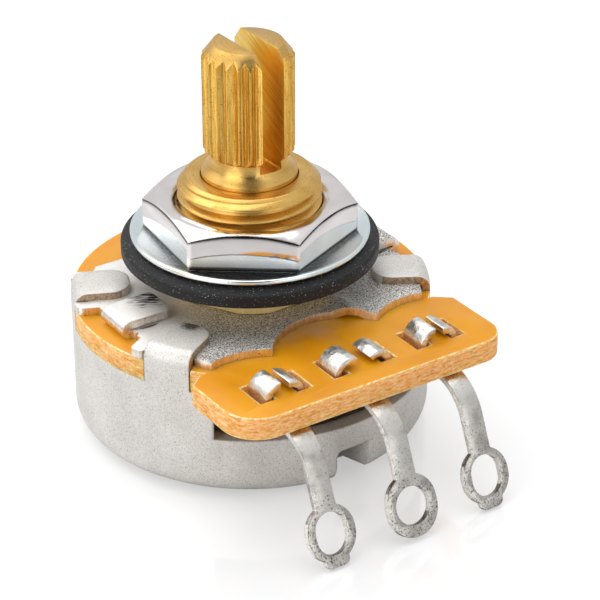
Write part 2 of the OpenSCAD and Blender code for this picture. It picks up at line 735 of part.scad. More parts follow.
module shaft() {
    flare_z = bush_top + 0.25;
    color("gold") difference() {
        union() {
            rotate_extrude() polygon([[0, rivet_z], [drive_r - 0.3, rivet_z],
                [drive_r + 0.3, rivet_z + 0.3], [drive_r + 0.3, hub_z], [0, hub_z]]);
            translate([0, 0, hub_z - eps]) linear_extrude(hub_top - hub_z + 2 * eps) drive_2d();
            rotate_extrude() polygon([[0, hub_top], [shaft_r, hub_top], [shaft_r, clip_z],
                [groove_r, clip_z], [groove_r, clip_z + clip_t], [shaft_r, clip_z + clip_t], [shaft_r, flare_z],
                [neck_r + 0.17, flare_z + 0.45], [neck_r, flare_z + 0.85], [neck_r, knurl_bottom - 0.3],
                [knurl_r, knurl_bottom], [knurl_r, shaft_top - top_chamfer], [top_r, shaft_top],
                [0, shaft_top]]);
        }
        for (i = [0 : knurl_count - 1]) rotate((i + 0.5) * 360 / knurl_count)
            translate([knurl_r - flute_depth + flute_r, 0, knurl_bottom - 0.35])
                cylinder(r = flute_r, h = shaft_out, $fn = 24);
        translate([-slit_w / 2, -knurl_r - 1, slit_floor]) cube([slit_w, 2 * knurl_r + 2, shaft_out]);
    }
}

module retaining_ring() {
    color("darkgray") translate([0, 0, clip_z]) linear_extrude(clip_t) difference() {
        circle(clip_r);
        circle(groove_r);
        wedge_2d(-35, 35, 8);
    }
}

module rotor() {
    color("saddlebrown") difference() {
        union() {
            translate([0, 0, rotor_z - rotor_t]) cylinder(r = rotor_r, h = rotor_t);
            translate([0, 0, hub_z]) cylinder(r = hub_r, h = hub_top - hub_z);
            translate([0, 0, arm_z]) linear_extrude(rotor_z - arm_z) intersection() {
                difference() {
                    circle(stop_arm_r);
                    circle(rotor_r - arm_sink);
                }
                wedge_2d(90 + stop_mid - arm_half, 90 + stop_mid + arm_half);
            }
        }
        translate([0, 0, hub_z - 1]) linear_extrude(rotor_z) drive_2d();
    }
}

// Spring arm that rises from the wiper's plate to a rounded tip under the board
module wiper_arm(y, w, tip) {
    start = -wiper_back + wiper_lap;
    top = rotor_z + wiper_t;
    translate([0, y + w / 2, 0]) rotate([90, 0, 0]) linear_extrude(w) {
        polygon([[start, rotor_z], [start + 3 * wiper_lap, rotor_z], [0.1, tip - 0.6],
                 [0.1, tip - 0.3], [-0.3, tip - 0.3], [start + 2 * wiper_lap, top], [start, top]]);
        translate([0, tip - tip_r]) circle(tip_r);
    }
}

module wiper_contact() {
    color("peru") {
        ring(hub_r + fit_gap, rotor_r - wiper_inset, rotor_z, wiper_t);
        translate([-wiper_back, collector_r - 0.1, rotor_z])
            cube([wiper_bar, track_r - collector_r + 0.8, wiper_t]);
        wiper_arm(collector_r + collector_w / 2, collector_arm_w, collector_tip_z);
        for (side = [-1, 1]) wiper_arm(track_r + side * track_arm_y, track_arm_w, tip_z);
    }
}

can();
mounting_plate();
bushing();
hex_nut();
flat_washer();
rubber_washer();
shaft();
retaining_ring();
rotor();
wiper_contact();
element_board();
carbon_track();
collector_ring();
end_pad(-1);  // end_pad_left
end_pad(1);  // end_pad_right
terminal(terminal_x[0], grip_side, tips_side, bend_left, side_ear, side_hole, true);  // terminal_left
terminal(terminal_x[1], grip_middle, tips_middle, bend_middle, middle_ear, middle_hole, false);  // terminal_centre
terminal(terminal_x[2], grip_side, tips_side, bend_right, side_ear, side_hole, true);  // terminal_right
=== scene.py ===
"""Rotary potentiometer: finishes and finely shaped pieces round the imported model.

Lengths are worked out in millimetres and multiplied by MM, because Blender's unit here is the metre.
The lugs point towards -Y and the shaft stands along +Z.
"""

import math

import bpy
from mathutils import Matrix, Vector


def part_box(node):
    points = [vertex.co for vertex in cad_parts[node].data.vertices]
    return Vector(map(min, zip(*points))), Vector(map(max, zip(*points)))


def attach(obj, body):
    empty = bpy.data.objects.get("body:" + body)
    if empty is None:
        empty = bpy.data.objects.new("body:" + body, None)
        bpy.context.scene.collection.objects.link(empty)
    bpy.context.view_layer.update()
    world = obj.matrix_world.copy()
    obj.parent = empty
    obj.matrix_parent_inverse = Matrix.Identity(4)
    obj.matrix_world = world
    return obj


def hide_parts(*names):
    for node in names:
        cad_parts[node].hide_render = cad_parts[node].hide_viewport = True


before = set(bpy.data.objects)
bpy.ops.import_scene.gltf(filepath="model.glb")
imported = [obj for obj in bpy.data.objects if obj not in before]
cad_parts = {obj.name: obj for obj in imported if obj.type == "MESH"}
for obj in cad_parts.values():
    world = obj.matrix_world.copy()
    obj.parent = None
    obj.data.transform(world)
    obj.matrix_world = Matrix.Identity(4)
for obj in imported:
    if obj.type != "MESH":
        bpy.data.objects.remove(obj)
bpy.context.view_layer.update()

MM = 0.001
HOUSING = "housing"
ROTATING = "rotating_shaft"

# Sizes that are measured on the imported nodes, in millimetres
bush_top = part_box("bushing")[1].z / MM
board_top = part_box("element_board")[1].z / MM
rim_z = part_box("element_board")[0].z / MM
seat_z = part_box("rubber_washer")[0].z / MM
shaft_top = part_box("shaft")[1].z / MM
lug_low = min(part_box(lug)[0].z for lug in ("terminal_left", "terminal_right")) / MM

# The mounting thread: 3/8 inch, 32 turns to the inch
PITCH = 25.4 / 32
THREAD_ROOT = 4.33
THREAD_DEPTH = 0.48
THREAD_ANGLE = 60
ROOT_WIDTH = 0.17
CREST_DROP = 0.57  # from the top face down to the first crest, on the camera's side
TURNS_BELOW = 5  # turns that are cut below that crest
TURNS_CUT = 7  # turns in all, so that the groove runs out through the top face
TURN_STEPS = 96

# The knurl: its lower edge above the bushing, and the radii of its ridges, before they are turned
# down to the shaft's own radius, of its valleys, and of the ring that holds the die's teeth
KNURL_LOW = 1.56
RIDGES = 24
RIDGE_R = 3.05
VALLEY_R = 2.64
DIE_R = 4.0
DIE_CORNERS = 64
SPARE = 1  # how far the die reaches past the shaft's end, and its hole past the die

# The screwdriver slot: half its width, its floor above the bushing, and how far from that half
# width the middle of a face on its walls may lie
SLOT_HALF = 0.82
SLOT_FLOOR = 1.0
SLOT_NEAR = 0.02

# The hexagon's flats have their middles higher than this above the board, and the staked tail hasn't
FLATS_RISE = 0.6

# The lugs' cut edges are seen below this height, outside the can
CUT_EDGE_TOP = 6.4

# Places of the tools' marks, on the front left tab and on the end of the left lug
TAB_PIT = (-7.2, -4.1, board_top + 1)
LUG_SCRAPE = (-7.7, 0.3, board_top + 1.25)

# Parts of a face's normal that tell what kind of face it is
UPRIGHT = 0.3  # the most along Z for an upright face of the can or the board
KNURL_FLANK = 0.2  # the most along Z for a flank of the knurl
HEX_FLAT = 0.1  # the most along Z for a flat of the hexagon
PLATE_EDGE = 0.5  # the most along Z for the plate's edges and the middle of its folds
LEVEL = 0.95  # the least along Z for a level face
LUG_EDGE = 0.85  # the least along X for a cut edge of a lug
SLOT_WALL = 0.9  # the least along X for a wall of the slot
SIDELONG = 0.4  # the most outwards for a face across the can's wall

# How triangles become whole faces and sharp edges, in millimetres and degrees
SAME_POINT = 0.001  # corners nearer than this are one,
SAME_PLANE = 0.6  # faces that meet at less than this are one,
SHARP = 32  # edges sharper than this are rounded,
SHADED_SHARP = 28  # and edges sharper than this are shaded as sharp

# Light creeps some way through the laminate's resin
RESIN_GLOW = {"Subsurface Weight": 0.6, "Subsurface Radius": (1.2, 0.5, 0.08), "Subsurface Scale": MM}

# The camera, as it was fitted to the photograph
CAMERA_PLACE = Vector((-74.03, -115.19, 83.41))
CAMERA_TURN = (61.135, 0, -34.11)
CAMERA_LENS = 139.54

# The dark gap in the tent round the camera: its edge fades between these angles, in degrees
GAP_OUTER = 32
GAP_INNER = 20

# The table: seen straight on it is a grey with a glow, just under white together, so that its
# shadows stay soft and it can carry reflections; metal and bounced light see it without the glow
TABLE_SEEN = "BBBCBD"
TABLE_GLOW = 0.46
TABLE_IN_METAL = "DADADA"
TABLE_BOUNCE = "F0F1F2"
TABLE_WIDTH = 6000

# The table touches the can's rear edge and the tips of the lugs
REAR_FOOT = 10.5
FRONT_FOOT = -19.0

# Soft square lamps: name, place in metres, width in metres and power in watts
LAMPS = (
    ("ceiling", (-0.05, 0.25, 0.72), 0.8, 3),
    ("rear_left", (-0.42, 0.48, 0.42), 0.6, 0.8),
    ("left_wall", (-0.68, -0.2, 0.28), 0.55, 1.9),
    ("lugs_side", (0.05, -0.75, 0.22), 0.45, 0.6),
)
LAMPS_AIM = Vector((0, 0, 0.01))


def linear(colour):
    """Linear RGBA of an sRGB hex colour such as "C8A060"."""
    parts = [int(colour[i : i + 2], 16) / 255 for i in (0, 2, 4)]
    return tuple(p / 12.92 if p <= 0.04045 else ((p + 0.055) / 1.055) ** 2.4 for p in parts) + (1,)


def add(tree, kind, inputs=(), output=None, **settings):
    """Adds a shader node with its settings, and gives the output that is named, or else its first.

    The inputs are values or sockets: a dictionary by their names, or a tuple in their order.
    """
    made = tree.nodes.new("ShaderNode" + kind)
    for name, value in settings.items():
        setattr(made, name, value)
    in_use = [socket for socket in made.inputs if socket.enabled]
    if isinstance(inputs, dict):
        pairs = [(made.inputs[name], value) for name, value in inputs.items()]
    else:
        pairs = list(zip(in_use, inputs))
    for socket, value in pairs:
        if isinstance(value, bpy.types.NodeSocket):
            tree.links.new(value, socket)
        else:
            socket.default_value = value
    if output:
        return made.outputs[output]
    return next((socket for socket in made.outputs if socket.enabled), None)


def blank(name):
    """A new material's node tree, emptied, with its place in millimetres on the piece."""
    material = bpy.data.materials.new(name)
    material.use_nodes = True
    tree = material.node_tree
    tree.nodes.clear()
    place = add(tree, "TexCoord", output="Object")
    return material, tree, add(tree, "VectorMath", (place, 1 / MM), operation="SCALE")


def graded(tree, value, *stops):
    """A colour that changes along a value: each stop is a place from 0 to 1 and a hex colour."""
    colour = linear(stops[0][1])
    for (start, _), (end, next_colour) in zip(stops, stops[1:]):
        share = add(tree, "MapRange", (value, start, end, 0, 1))
        colour = add(tree, "Mix", (share, colour, linear(next_colour)), data_type="RGBA")
    return colour


def marked(tree, colour, value, start, end, strength, mark):
    """The colour with a mark's hex colour over it, from nothing at the start to the strength at the end."""
    share = add(tree, "MapRange", (value, start, end, 0, strength))
    return add(tree, "Mix", (share, colour, linear(mark)), data_type="RGBA")


def relief(tree, *layers, rounded=0):
    """Bumps laid over each other: each layer is a height socket and its depth in millimetres.

    If rounded, edges are shaded as if they were rounded to that radius in millimetres.
    """
    below = {}
    if rounded:
        below = {"Normal": add(tree, "Bevel", {"Radius": rounded * MM}, samples=6)}
    for height, depth in layers:
        bump = {"Height": height, "Strength": 1.0, "Distance": depth * MM, **below}
        below = {"Normal": add(tree, "Bump", bump)}
    return below["Normal"]


def surface(tree, colour, roughness, metallic, normal, fixed=None):
    """Ends a material in its shader. The fixed values are the same all over the surface."""
    inputs = {"Base Color": colour, "Roughness": roughness, "Metallic": metallic, "Normal": normal}
    shader = add(tree, "BsdfPrincipled", {**inputs, **(fixed or {})})
    add(tree, "OutputMaterial", {"Surface": shader})


def round_place(tree, place):
    """Distance from the shaft's axis and height as one vector, for marks that run round a piece."""
    across = add(tree, "SeparateXYZ", (place,), "X")
    along = add(tree, "SeparateXYZ", (place,), "Y")
    height = add(tree, "SeparateXYZ", (place,), "Z")
    flat = add(tree, "CombineXYZ", (across, along, 0))
    radius = add(tree, "VectorMath", (flat,), operation="LENGTH")
    return add(tree, "CombineXYZ", (radius, 0, height))


def steepness(tree, normal):
    """How much a surface faces up or down: 0 on a wall and 1 on a floor."""
    upward = add(tree, "SeparateXYZ", (normal,), "Z")
    return add(tree, "Math", (upward,), operation="ABSOLUTE")


def spot(tree, place, centre, radius, ragged):
    """1 at a centre, falling to 0 at a radius, with a ragged edge."""
    away = add(tree, "VectorMath", (place, centre), operation="DISTANCE")
    rough = add(tree, "Math", (ragged, radius, away), operation="MULTIPLY_ADD")
    return add(tree, "MapRange", (rough, radius * 0.9, radius * 1.5, 1, 0))


def tumbled_nickel():
    """Nickel plate on drawn steel, tumbled with stones: satin, finely pecked and a little cloudy."""
    material, tree, place = blank("tumbled_nickel")
    drift = add(tree, "TexNoise", {"Vector": place, "Scale": 1 / 2.2, "Detail": 3})
    # the stones' marks are finer than this, and are drawn coarse enough to show
    grain = add(tree, "TexNoise", {"Vector": place, "Scale": 1 / 0.14, "Detail": 3, "Roughness": 0.7})
    pecks = add(tree, "TexNoise", {"Vector": place, "Scale": 1 / 0.085, "Detail": 1, "Roughness": 0.6})
    colour = graded(tree, drift, (0.3, "DCD9D4"), (0.7, "EAE7E3"))
    colour = marked(tree, colour, grain, 0.65, 0.35, 0.35, "9C9891")
    colour = marked(tree, colour, pecks, 0.62, 0.7, 0.6, "55514B")
    # a dark pit that the bending tool left on the front left tab
    ragged = add(tree, "TexNoise", {"Vector": place, "Scale": 1 / 0.2})
    pit = spot(tree, place, TAB_PIT, 0.85, ragged)
    grime = graded(tree, pecks, (0.4, "23241F"), (0.6, "77766C"))
    colour = add(tree, "Mix", (pit, colour, grime), data_type="RGBA")
    roughness = add(tree, "MapRange", (grain, 0.3, 0.7, 0.4, 0.58))
    surface(tree, colour, roughness, 0.5, relief(tree, (grain, 0.012), (pecks, 0.006), rounded=0.2))
    return material


def sheared_edge():
    """Edge of the can's sheet where it was cut: the plate is thin there and the steel has browned."""
    material, tree, place = blank("sheared_edge")
    drag = add(tree, "TexNoise", {"Vector": place, "Scale": 1 / 0.16, "Detail": 3, "Roughness": 0.6})
    colour = graded(tree, drag, (0.3, "8A7460"), (0.5, "BBA288"), (0.7, "D8C5AC"))
    surface(tree, colour, 0.4, 1.0, relief(tree, (drag, 0.02)))
    return material


def plate_nickel():
    """Nickel plate on pressed steel: brighter than the can, with dense fine pits."""
    material, tree, place = blank("plate_nickel")
    drift = add(tree, "TexNoise", {"Vector": place, "Scale": 1 / 1.8, "Detail": 3})
    # the pits are finer than this, and are drawn coarse enough to show
    grain = add(tree, "TexNoise", {"Vector": place, "Scale": 1 / 0.12, "Detail": 3, "Roughness": 0.7})
    pits = add(tree, "TexNoise", {"Vector": place, "Scale": 1 / 0.075, "Detail": 1})
    colour = graded(tree, drift, (0.3, "EAE7E2"), (0.7, "F8F6F2"))
    # its pits and grain are drawn densest at the front and the right and sparse at its rear left: partly
    # real pitting, partly painted shade at the front and the right and painted light at its rear left
    right = add(tree, "SeparateXYZ", (place,), "X")
    back = add(tree, "SeparateXYZ", (place,), "Y")
    towards = add(tree, "Math", (right, back), operation="SUBTRACT")
    pits_and_painted_shade = ((grain, 0.6, 0.35, 0.8, "86827B"), (pits, 0.52, 0.6, 0.9, "2E2B28"))
    for marks, start, end, strength, mark in pits_and_painted_shade:
        dense = add(tree, "MapRange", (towards, -6, -1, 0.1 * strength, strength))
        colour = marked(tree, colour, marks, start, end, dense, mark)
    # the folding punch has scraped the end of the left lug, across the lug
    turned = add(tree, "Mapping", {"Vector": place, "Rotation": (0, 0, math.radians(34))})
    drawn_out = add(tree, "VectorMath", (turned, (0.12, 1, 1)), operation="MULTIPLY")
    strokes = add(tree, "TexNoise", {"Vector": drawn_out, "Scale": 1 / 0.13})
    ragged = add(tree, "TexNoise", {"Vector": place, "Scale": 1 / 0.5, "Detail": 1})
    scrape = spot(tree, place, LUG_SCRAPE, 1.5, ragged)
    colour = marked(tree, colour, strokes, 0.42, 0.48, scrape, "1C1A18")
    roughness = add(tree, "MapRange", (grain, 0.3, 0.7, 0.4, 0.6))
    surface(tree, colour, roughness, 0.5, relief(tree, (drift, 0.04), (grain, 0.02), rounded=0.25))
    return material


def punched_edge():
    """Punched edge of the plate: smeared bright, with short drag lines and the odd pit."""
    material, tree, place = blank("punched_edge")
    upright = add(tree, "VectorMath", (place, (1, 1, 0.3)), operation="MULTIPLY")
    drag = add(tree, "TexNoise", {"Vector": upright, "Scale": 1 / 0.25, "Detail": 3, "Roughness": 0.6})
    pits = add(tree, "TexNoise", {"Vector": place, "Scale": 1 / 0.12, "Detail": 1})
    colour = graded(tree, drag, (0.3, "D6C8BA"), (0.65, "F4EEE6"))
    colour = marked(tree, colour, pits, 0.68, 0.74, 0.8, "4A3A30")
    surface(tree, colour, 0.3, 1.0, relief(tree, (drag, 0.015)))
    return material


def tinned_brass():
    """Tin plate on brass strip: pale and soft, dark-pitted towards the eyelets, creased where it curls."""
    material, tree, place = blank("tinned_brass")
    drift = add(tree, "TexNoise", {"Vector": place, "Scale": 1 / 1.2, "Detail": 3})
    grain = add(tree, "TexNoise", {"Vector": place, "Scale": 1 / 0.13, "Detail": 3, "Roughness": 0.7})
    pits = add(tree, "TexNoise", {"Vector": place, "Scale": 1 / 0.13, "Detail": 4, "Roughness": 0.75})
    squat = add(tree, "VectorMath", (place, (1, 1, 1.4)), operation="MULTIPLY")
    creases = add(tree, "TexNoise", {"Vector": squat, "Scale": 1 / 0.55, "Detail": 1})
    height = add(tree, "SeparateXYZ", (place,), "Z")
    # painted light: the fingers and the bend are painted brighter than the strip below them
    strip = graded(tree, drift, (0.3, "C2BFB9"), (0.7, "DAD7D2"))
    painted_light_crown = graded(tree, drift, (0.3, "E2E0DC"), (0.7, "F4F3F0"))
    above = add(tree, "MapRange", (height, board_top - 3.2, board_top - 1.2, 0, 1))
    colour = add(tree, "Mix", (above, strip, painted_light_crown), data_type="RGBA")
    # stains and pits grow down the strip, from where it leaves the can to the eyelet
    low = add(tree, "MapRange", (height, 6.2, 2.2, 0, 1))
    stain = add(tree, "Math", (low, 0.09, drift), operation="MULTIPLY_ADD")
    worn = add(tree, "Math", (low, 0.075, pits), operation="MULTIPLY_ADD")
    colour = marked(tree, colour, stain, 0.5, 0.7, 0.6, "8A867F")
    colour = marked(tree, colour, worn, 0.61, 0.68, 0.9, "2A2723")
    roughness = add(tree, "MapRange", (grain, 0.3, 0.7, 0.24, 0.4))
    curl = add(tree, "Math", (above, creases), operation="MULTIPLY")
    surface(tree, colour, roughness, 1.0, relief(tree, (drift, 0.03), (grain, 0.01), (curl, 0.07)))
    return material


def tinned_edge():
    """The cut edges of the same strip, smeared bright by the punch."""
    material, tree, place = blank("tinned_edge")
    drag = add(tree, "TexNoise", {"Vector": place, "Scale": 1 / 0.22, "Detail": 3, "Roughness": 0.6})
    pits = add(tree, "TexNoise", {"Vector": place, "Scale": 1 / 0.13, "Detail": 1})
    colour = graded(tree, drag, (0.35, "D6CFC4"), (0.65, "FBF9F6"))
    colour = marked(tree, colour, pits, 0.66, 0.72, 0.8, "3C3026")
    surface(tree, colour, 0.4, 0.3, relief(tree, (drag, 0.02)))
    return material


def turned_brass():
    """Bright brass from the lathe: the tool leaves fine rings, and a few dark specks stay."""
    material, tree, place = blank("turned_brass")
    # the lathe's feed is finer than this, and is drawn coarse enough to show
    rings = add(tree, "TexNoise", {"Vector": round_place(tree, place), "Scale": 1 / 0.09, "Detail": 1})
    drift = add(tree, "TexNoise", {"Vector": place, "Scale": 1 / 1.2})
    specks = add(tree, "TexNoise", {"Vector": place, "Scale": 1 / 0.075, "Detail": 0})
    colour = graded(tree, drift, (0.3, "D4A858"), (0.7, "E0B86C"))
    colour = marked(tree, colour, rings, 0.6, 0.3, 0.2, "C59645")
    colour = marked(tree, colour, specks, 0.74, 0.79, 0.8, "4A3010")
    roughness = add(tree, "MapRange", (rings, 0.3, 0.7, 0.26, 0.36))
    surface(tree, colour, roughness, 1.0, relief(tree, (rings, 0.003)))
    return material


def sawn_brass_painted_light():
    """Brass where the slot was sawn: straight strokes that slope down towards the lugs, on a colour painted
    paler and yellower than the turned brass: painted light and reflection in the slot.
    """
    material, tree, place = blank("sawn_brass_painted_light")
    sloped = add(tree, "Mapping", {"Vector": place, "Rotation": (math.radians(-25), 0, 0)})
    drawn_out = add(tree, "VectorMath", (sloped, (1, 0.04, 1)), operation="MULTIPLY")
    strokes = add(tree, "TexNoise", {"Vector": drawn_out, "Scale": 1 / 0.11, "Roughness": 0.6})
    colour = graded(tree, strokes, (0.3, "E2B24C"), (0.5, "F0CA66"), (0.7, "FADC88"))
    surface(tree, colour, 0.36, 1.0, relief(tree, (strokes, 0.01)))
    return material


def knurled_brass():
    """Flanks of the knurl: smooth from the die, with faint lines along the shaft and dark specks."""
    material, tree, place = blank("knurled_brass")
    upright = add(tree, "VectorMath", (place, (1, 1, 0.08)), operation="MULTIPLY")
    lines = add(tree, "TexNoise", {"Vector": upright, "Scale": 1 / 0.12})
    specks = add(tree, "TexNoise", {"Vector": place, "Scale": 1 / 0.075, "Detail": 0})
    colour = graded(tree, lines, (0.3, "C99638"), (0.7, "E6BC64"))
    colour = marked(tree, colour, specks, 0.7, 0.75, 0.8, "4A3010")
    surface(tree, colour, 0.24, 1.0, relief(tree, (lines, 0.004), rounded=0.07))
    return material


def drawn_brass_painted_light():
    """Flats of the hexagon, as the drawing die left them: matt, with lines along the bar, and painted paler
    than the turned brass: painted light on flats that lie in the rubber washer's shade.
    """
    material, tree, place = blank("drawn_brass_painted_light")
    upright = add(tree, "VectorMath", (place, (1, 1, 0.15)), operation="MULTIPLY")
    lines = add(tree, "TexNoise", {"Vector": upright, "Scale": 1 / 0.1, "Roughness": 0.6})
    colour = graded(tree, lines, (0.3, "F4CC7E"), (0.7, "FCE2A4"))
    surface(tree, colour, 0.5, 0.2, relief(tree, (lines, 0.006)))
    return material


def chrome_plate():
    """Polished plate on the nut: a mirror with the faint waves of the steel under it."""
    material, tree, place = blank("chrome_plate")
    waves = add(tree, "TexNoise", {"Vector": place, "Scale": 1 / 1.6, "Detail": 1})
    colour = graded(tree, waves, (0.3, "E3DEDD"), (0.7, "ECE8E7"))
    # a thin dark line is painted along the upper and lower edges of the flats: painted reflection of the
    # dark surroundings, and painted shade, in their rounded edges
    rounded = add(tree, "Bevel", {"Radius": 0.4 * MM}, samples=8)
    facing = add(tree, "NewGeometry", output="Normal")
    flats = add(tree, "MapRange", (steepness(tree, facing), 0.4, 0.5, 0.97, 0))
    colour = marked(tree, colour, steepness(tree, rounded), 0.06, 0.16, flats, "121110")
    surface(tree, colour, 0.07, 1.0, relief(tree, (waves, 0.008), rounded=0.45))
    return material


def blue_zinc():
    """Bright zinc with a clear chromate: bluish, turning yellow here and there."""
    material, tree, place = blank("blue_zinc")
    film = add(tree, "TexNoise", {"Vector": place, "Scale": 1 / 5.0, "Detail": 1})
    grain = add(tree, "TexNoise", {"Vector": place, "Scale": 1 / 0.2})
    colour = graded(tree, film, (0.32, "DCE8EC"), (0.5, "E4ECEC"), (0.66, "ECEBDD"))
    roughness = add(tree, "MapRange", (grain, 0.3, 0.7, 0.16, 0.26))
    surface(tree, colour, roughness, 1.0, relief(tree, (grain, 0.004)))
    return material


def black_rubber():
    """Moulded black rubber with a little chalk dust in its pores."""
    material, tree, place = blank("black_rubber")
    skin = add(tree, "TexNoise", {"Vector": place, "Scale": 1 / 0.16, "Detail": 3, "Roughness": 0.7})
    dust = add(tree, "TexNoise", {"Vector": place, "Scale": 1 / 0.085, "Detail": 0})
    patches = add(tree, "TexNoise", {"Vector": place, "Scale": 1 / 1.1})
    gathered = add(tree, "Math", (patches, 0.16, dust), operation="MULTIPLY_ADD")
    colour = marked(tree, linear("151517"), gathered, 0.83, 0.9, 0.7, "B4B3B0")
    surface(tree, colour, 0.5, 0.0, relief(tree, (skin, 0.035)), {"Specular IOR Level": 0.3})
    return material


def laminate_face():
    """Resin-rich face of paper laminate: amber, glossy and slightly cloudy."""
    material, tree, place = blank("laminate_face")
    drift = add(tree, "TexNoise", {"Vector": place, "Scale": 1 / 4.0})
    paper = add(tree, "TexNoise", {"Vector": place, "Scale": 1 / 0.3})
    colour = graded(tree, drift, (0.3, "D68E0A"), (0.7, "E29C10"))
    normal = relief(tree, (drift, 0.02), (paper, 0.003))
    surface(tree, colour, 0.34, 0.0, normal, {"Specular IOR Level": 0.35, **RESIN_GLOW})
    return material


def chipped_rim():
    """Rim of the laminate's face, where the punch has turned the resin pale."""
    material, tree, place = blank("chipped_rim")
    chips = add(tree, "TexNoise", {"Vector": place, "Scale": 1 / 0.25, "Detail": 3, "Roughness": 0.6})
    colour = graded(tree, chips, (0.35, "D99A3C"), (0.6, "F3DDAE"))
    surface(tree, colour, 0.45, 0.0, relief(tree, (chips, 0.03)), RESIN_GLOW)
    return material


def laminate_edge():
    """Punched edge of the laminate: torn paper fibres in layers that follow the board."""
    material, tree, place = blank("laminate_edge")
    layers = add(tree, "VectorMath", (place, (0.45, 0.45, 1.6)), operation="MULTIPLY")
    fibres = add(tree, "TexNoise", {"Vector": layers, "Scale": 1 / 0.26, "Detail": 4, "Roughness": 0.75})
    ends = add(tree, "VectorMath", (place, (0.6, 0.6, 1.4)), operation="MULTIPLY")
    tufts = add(tree, "TexNoise", {"Vector": ends, "Scale": 1 / 0.1, "Roughness": 0.6})
    colour = graded(tree, fibres, (0.32, "D07C14"), (0.45, "EAA448"), (0.56, "F6C07A"), (0.7, "FCE2B4"))
    colour = marked(tree, colour, tufts, 0.6, 0.7, 0.6, "FBEACA")
    surface(tree, colour, 0.7, 0.0, relief(tree, (fibres, 0.1), (tufts, 0.04)), RESIN_GLOW)
    return material


def spring_steel():
    """Oiled spring steel, dark grey from its heat treatment."""
    material, tree, place = blank("spring_steel")
    grain = add(tree, "TexNoise", {"Vector": place, "Scale": 1 / 0.2, "Detail": 3})
    colour = graded(tree, grain, (0.3, "4C4B4A"), (0.7, "6A6967"))
    surface(tree, colour, 0.35, 1.0, relief(tree, (grain, 0.006)))
    return material


def brown_moulding():
    """Compression-moulded phenolic with flour in it: dark brown, faintly speckled."""
    material, tree, place = blank("brown_moulding")
    flour = add(tree, "TexNoise", {"Vector": place, "Scale": 1 / 0.25, "Detail": 3, "Roughness": 0.6})
    colour = graded(tree, flour, (0.35, "2A1710"), (0.7, "3D241A"))
    surface(tree, colour, 0.42, 0.0, relief(tree, (flour, 0.01)))
    return material


def contact_bronze():
    """Rolled phosphor bronze strip, with its rolling lines along X."""
    material, tree, place = blank("contact_bronze")
    drawn_out = add(tree, "VectorMath", (place, (0.1, 1, 1)), operation="MULTIPLY")
    rolling = add(tree, "TexNoise", {"Vector": drawn_out, "Scale": 1 / 0.12})
    colour = graded(tree, rolling, (0.3, "B4764A"), (0.7, "CC8F62"))
    surface(tree, colour, 0.28, 1.0, relief(tree, (rolling, 0.003)))
    return material


def carbon_ink():
    """Screen-printed carbon ink: matt black with a fine tooth."""
    material, tree, place = blank("carbon_ink")
    tooth = add(tree, "TexNoise", {"Vector": place, "Scale": 1 / 0.1})
    colour = graded(tree, tooth, (0.3, "131313"), (0.7, "222222"))
    surface(tree, colour, 0.6, 0.0, relief(tree, (tooth, 0.008)))
    return material


def silver_plate():
    """Printed silver with the fine tooth of its paste."""
    material, tree, place = blank("silver_plate")
    tooth = add(tree, "TexNoise", {"Vector": place, "Scale": 1 / 0.15})
    colour = graded(tree, tooth, (0.3, "B9B6B0"), (0.7, "D2CFCA"))
    surface(tree, colour, 0.4, 1.0, relief(tree, (tooth, 0.006)))
    return material


def only(piece):
    """Leaves just this piece selected and active."""
    bpy.ops.object.select_all(action="DESELECT")
    piece.select_set(True)
    bpy.context.view_layer.objects.active = piece


def fitted(piece, kind, **settings):
    """Adds a modifier with its settings and applies it."""
    only(piece)
    modifier = piece.modifiers.new(kind.title(), kind)
    for name, value in settings.items():
        setattr(modifier, name, value)
    bpy.ops.object.modifier_apply(modifier=modifier.name)


def cut(piece, tool):
    """Takes the tool's volume away from the piece and throws the tool away."""
    fitted(piece, "BOOLEAN", operation="DIFFERENCE", solver="EXACT", object=tool)
    bpy.data.objects.remove(tool)
    return piece


def reworked(node, name):
    """A copy of a CAD node with its triangles joined into whole faces, ready to be shaped."""
    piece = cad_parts[node].copy()
    piece.data = piece.data.copy()
    piece.name = piece.data.name = name
    for key in list(piece.keys()):
        del piece[key]
    piece.parent = None
    bpy.context.scene.collection.objects.link(piece)
    only(piece)
    bpy.ops.mesh.customdata_custom_splitnormals_clear()
    bpy.ops.object.mode_set(mode="EDIT")
    bpy.ops.mesh.select_all(action="SELECT")
    bpy.ops.mesh.remove_doubles(threshold=SAME_POINT * MM)
    bpy.ops.mesh.dissolve_limited(angle_limit=math.radians(SAME_PLANE))
    bpy.ops.object.mode_set(mode="OBJECT")
    return piece


def pick_corners(piece, chosen):
    """In edit mode, selects just the corners that the test chooses."""
    bpy.ops.mesh.select_mode(type="VERT")
    bpy.ops.mesh.select_all(action="DESELECT")
    bpy.ops.object.mode_set(mode="OBJECT")
    for corner in piece.data.vertices:
        corner.select = chosen(corner.co)
    bpy.ops.object.mode_set(mode="EDIT")


def broken_edges(piece, width, segments=3):
    """Rounds every sharp edge, to a width in millimetres."""
    settings = {"width": width * MM, "segments": segments, "use_clamp_overlap": True}
    fitted(piece, "BEVEL", limit_method="ANGLE", angle_limit=math.radians(SHARP), **settings)


def finished(piece, materials, body, slot, *nodes):
    """Shades and paints a piece that stands for CAD nodes, puts it under its body and hides those nodes."""
    only(piece)
    bpy.ops.object.shade_smooth_by_angle(angle=math.radians(SHADED_SHARP))
    piece.data.materials.clear()
    for material in materials:
        piece.data.materials.append(material)
    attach(piece, body)
    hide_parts(*nodes)


def paint(node, material):
    """Gives a CAD node that stays its finish."""
    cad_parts[node].data.materials.clear()
    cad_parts[node].data.materials.append(material)


def camera():
    """The photograph's view."""
    data = bpy.data.cameras.new("camera")
    data.lens = CAMERA_LENS
    data.clip_start, data.clip_end = 0.01, 10
    made = bpy.data.objects.new("camera", data)
    made.location = CAMERA_PLACE * MM
    made.rotation_euler = [math.radians(angle) for angle in CAMERA_TURN]
    bpy.context.scene.collection.objects.link(made)
    bpy.context.scene.camera = made


